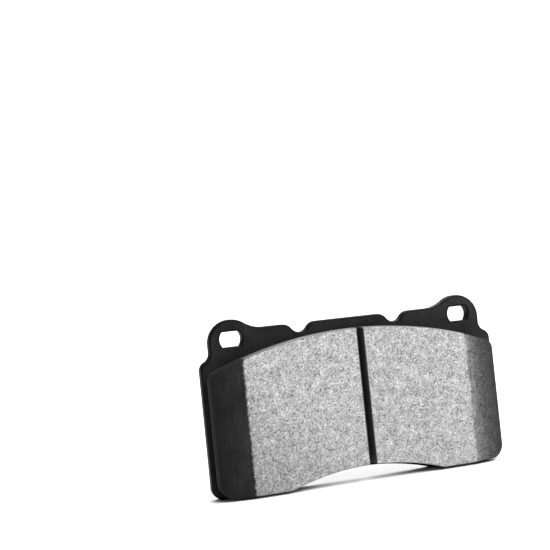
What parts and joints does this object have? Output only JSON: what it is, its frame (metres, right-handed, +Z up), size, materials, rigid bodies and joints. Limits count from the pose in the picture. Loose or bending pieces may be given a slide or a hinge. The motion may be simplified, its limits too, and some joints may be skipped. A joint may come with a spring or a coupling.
{
  "type": "brake pad",
  "caption": "Flat disc brake pad with a pin hole in each ear, a slotted friction block with chamfered ends and a thin anti-squeal shim on its back.",
  "frame": {"origin": "middle of the footprint, on the plane that the lower edge stands on", "axes": "+X along the pad's length, +Z up to the pin ears, -Y out of the friction face towards the disc"},
  "size_m": [0.132, 0.0142, 0.074],
  "materials": {
    "plate_paint": "satin black paint",
    "bond": "cured brown resin",
    "underlayer": "moulded dark friction mix",
    "friction": "ground, fine light and dark speckle",
    "shim_adhesive": "tacky film",
    "shim_steel": "cold rolled sheet",
    "shim_rubber": "thin matt rubber coat"
  },
  "bodies": {
    "root": {"backing_plate": "plate_paint", "bond_film": "bond", "underlayer": "underlayer", "friction_block_left": "friction", "friction_block_right": "friction", "shim_adhesive": "shim_adhesive", "shim_core": "shim_steel", "shim_coat": "shim_rubber"}
  },
  "joints": []
}
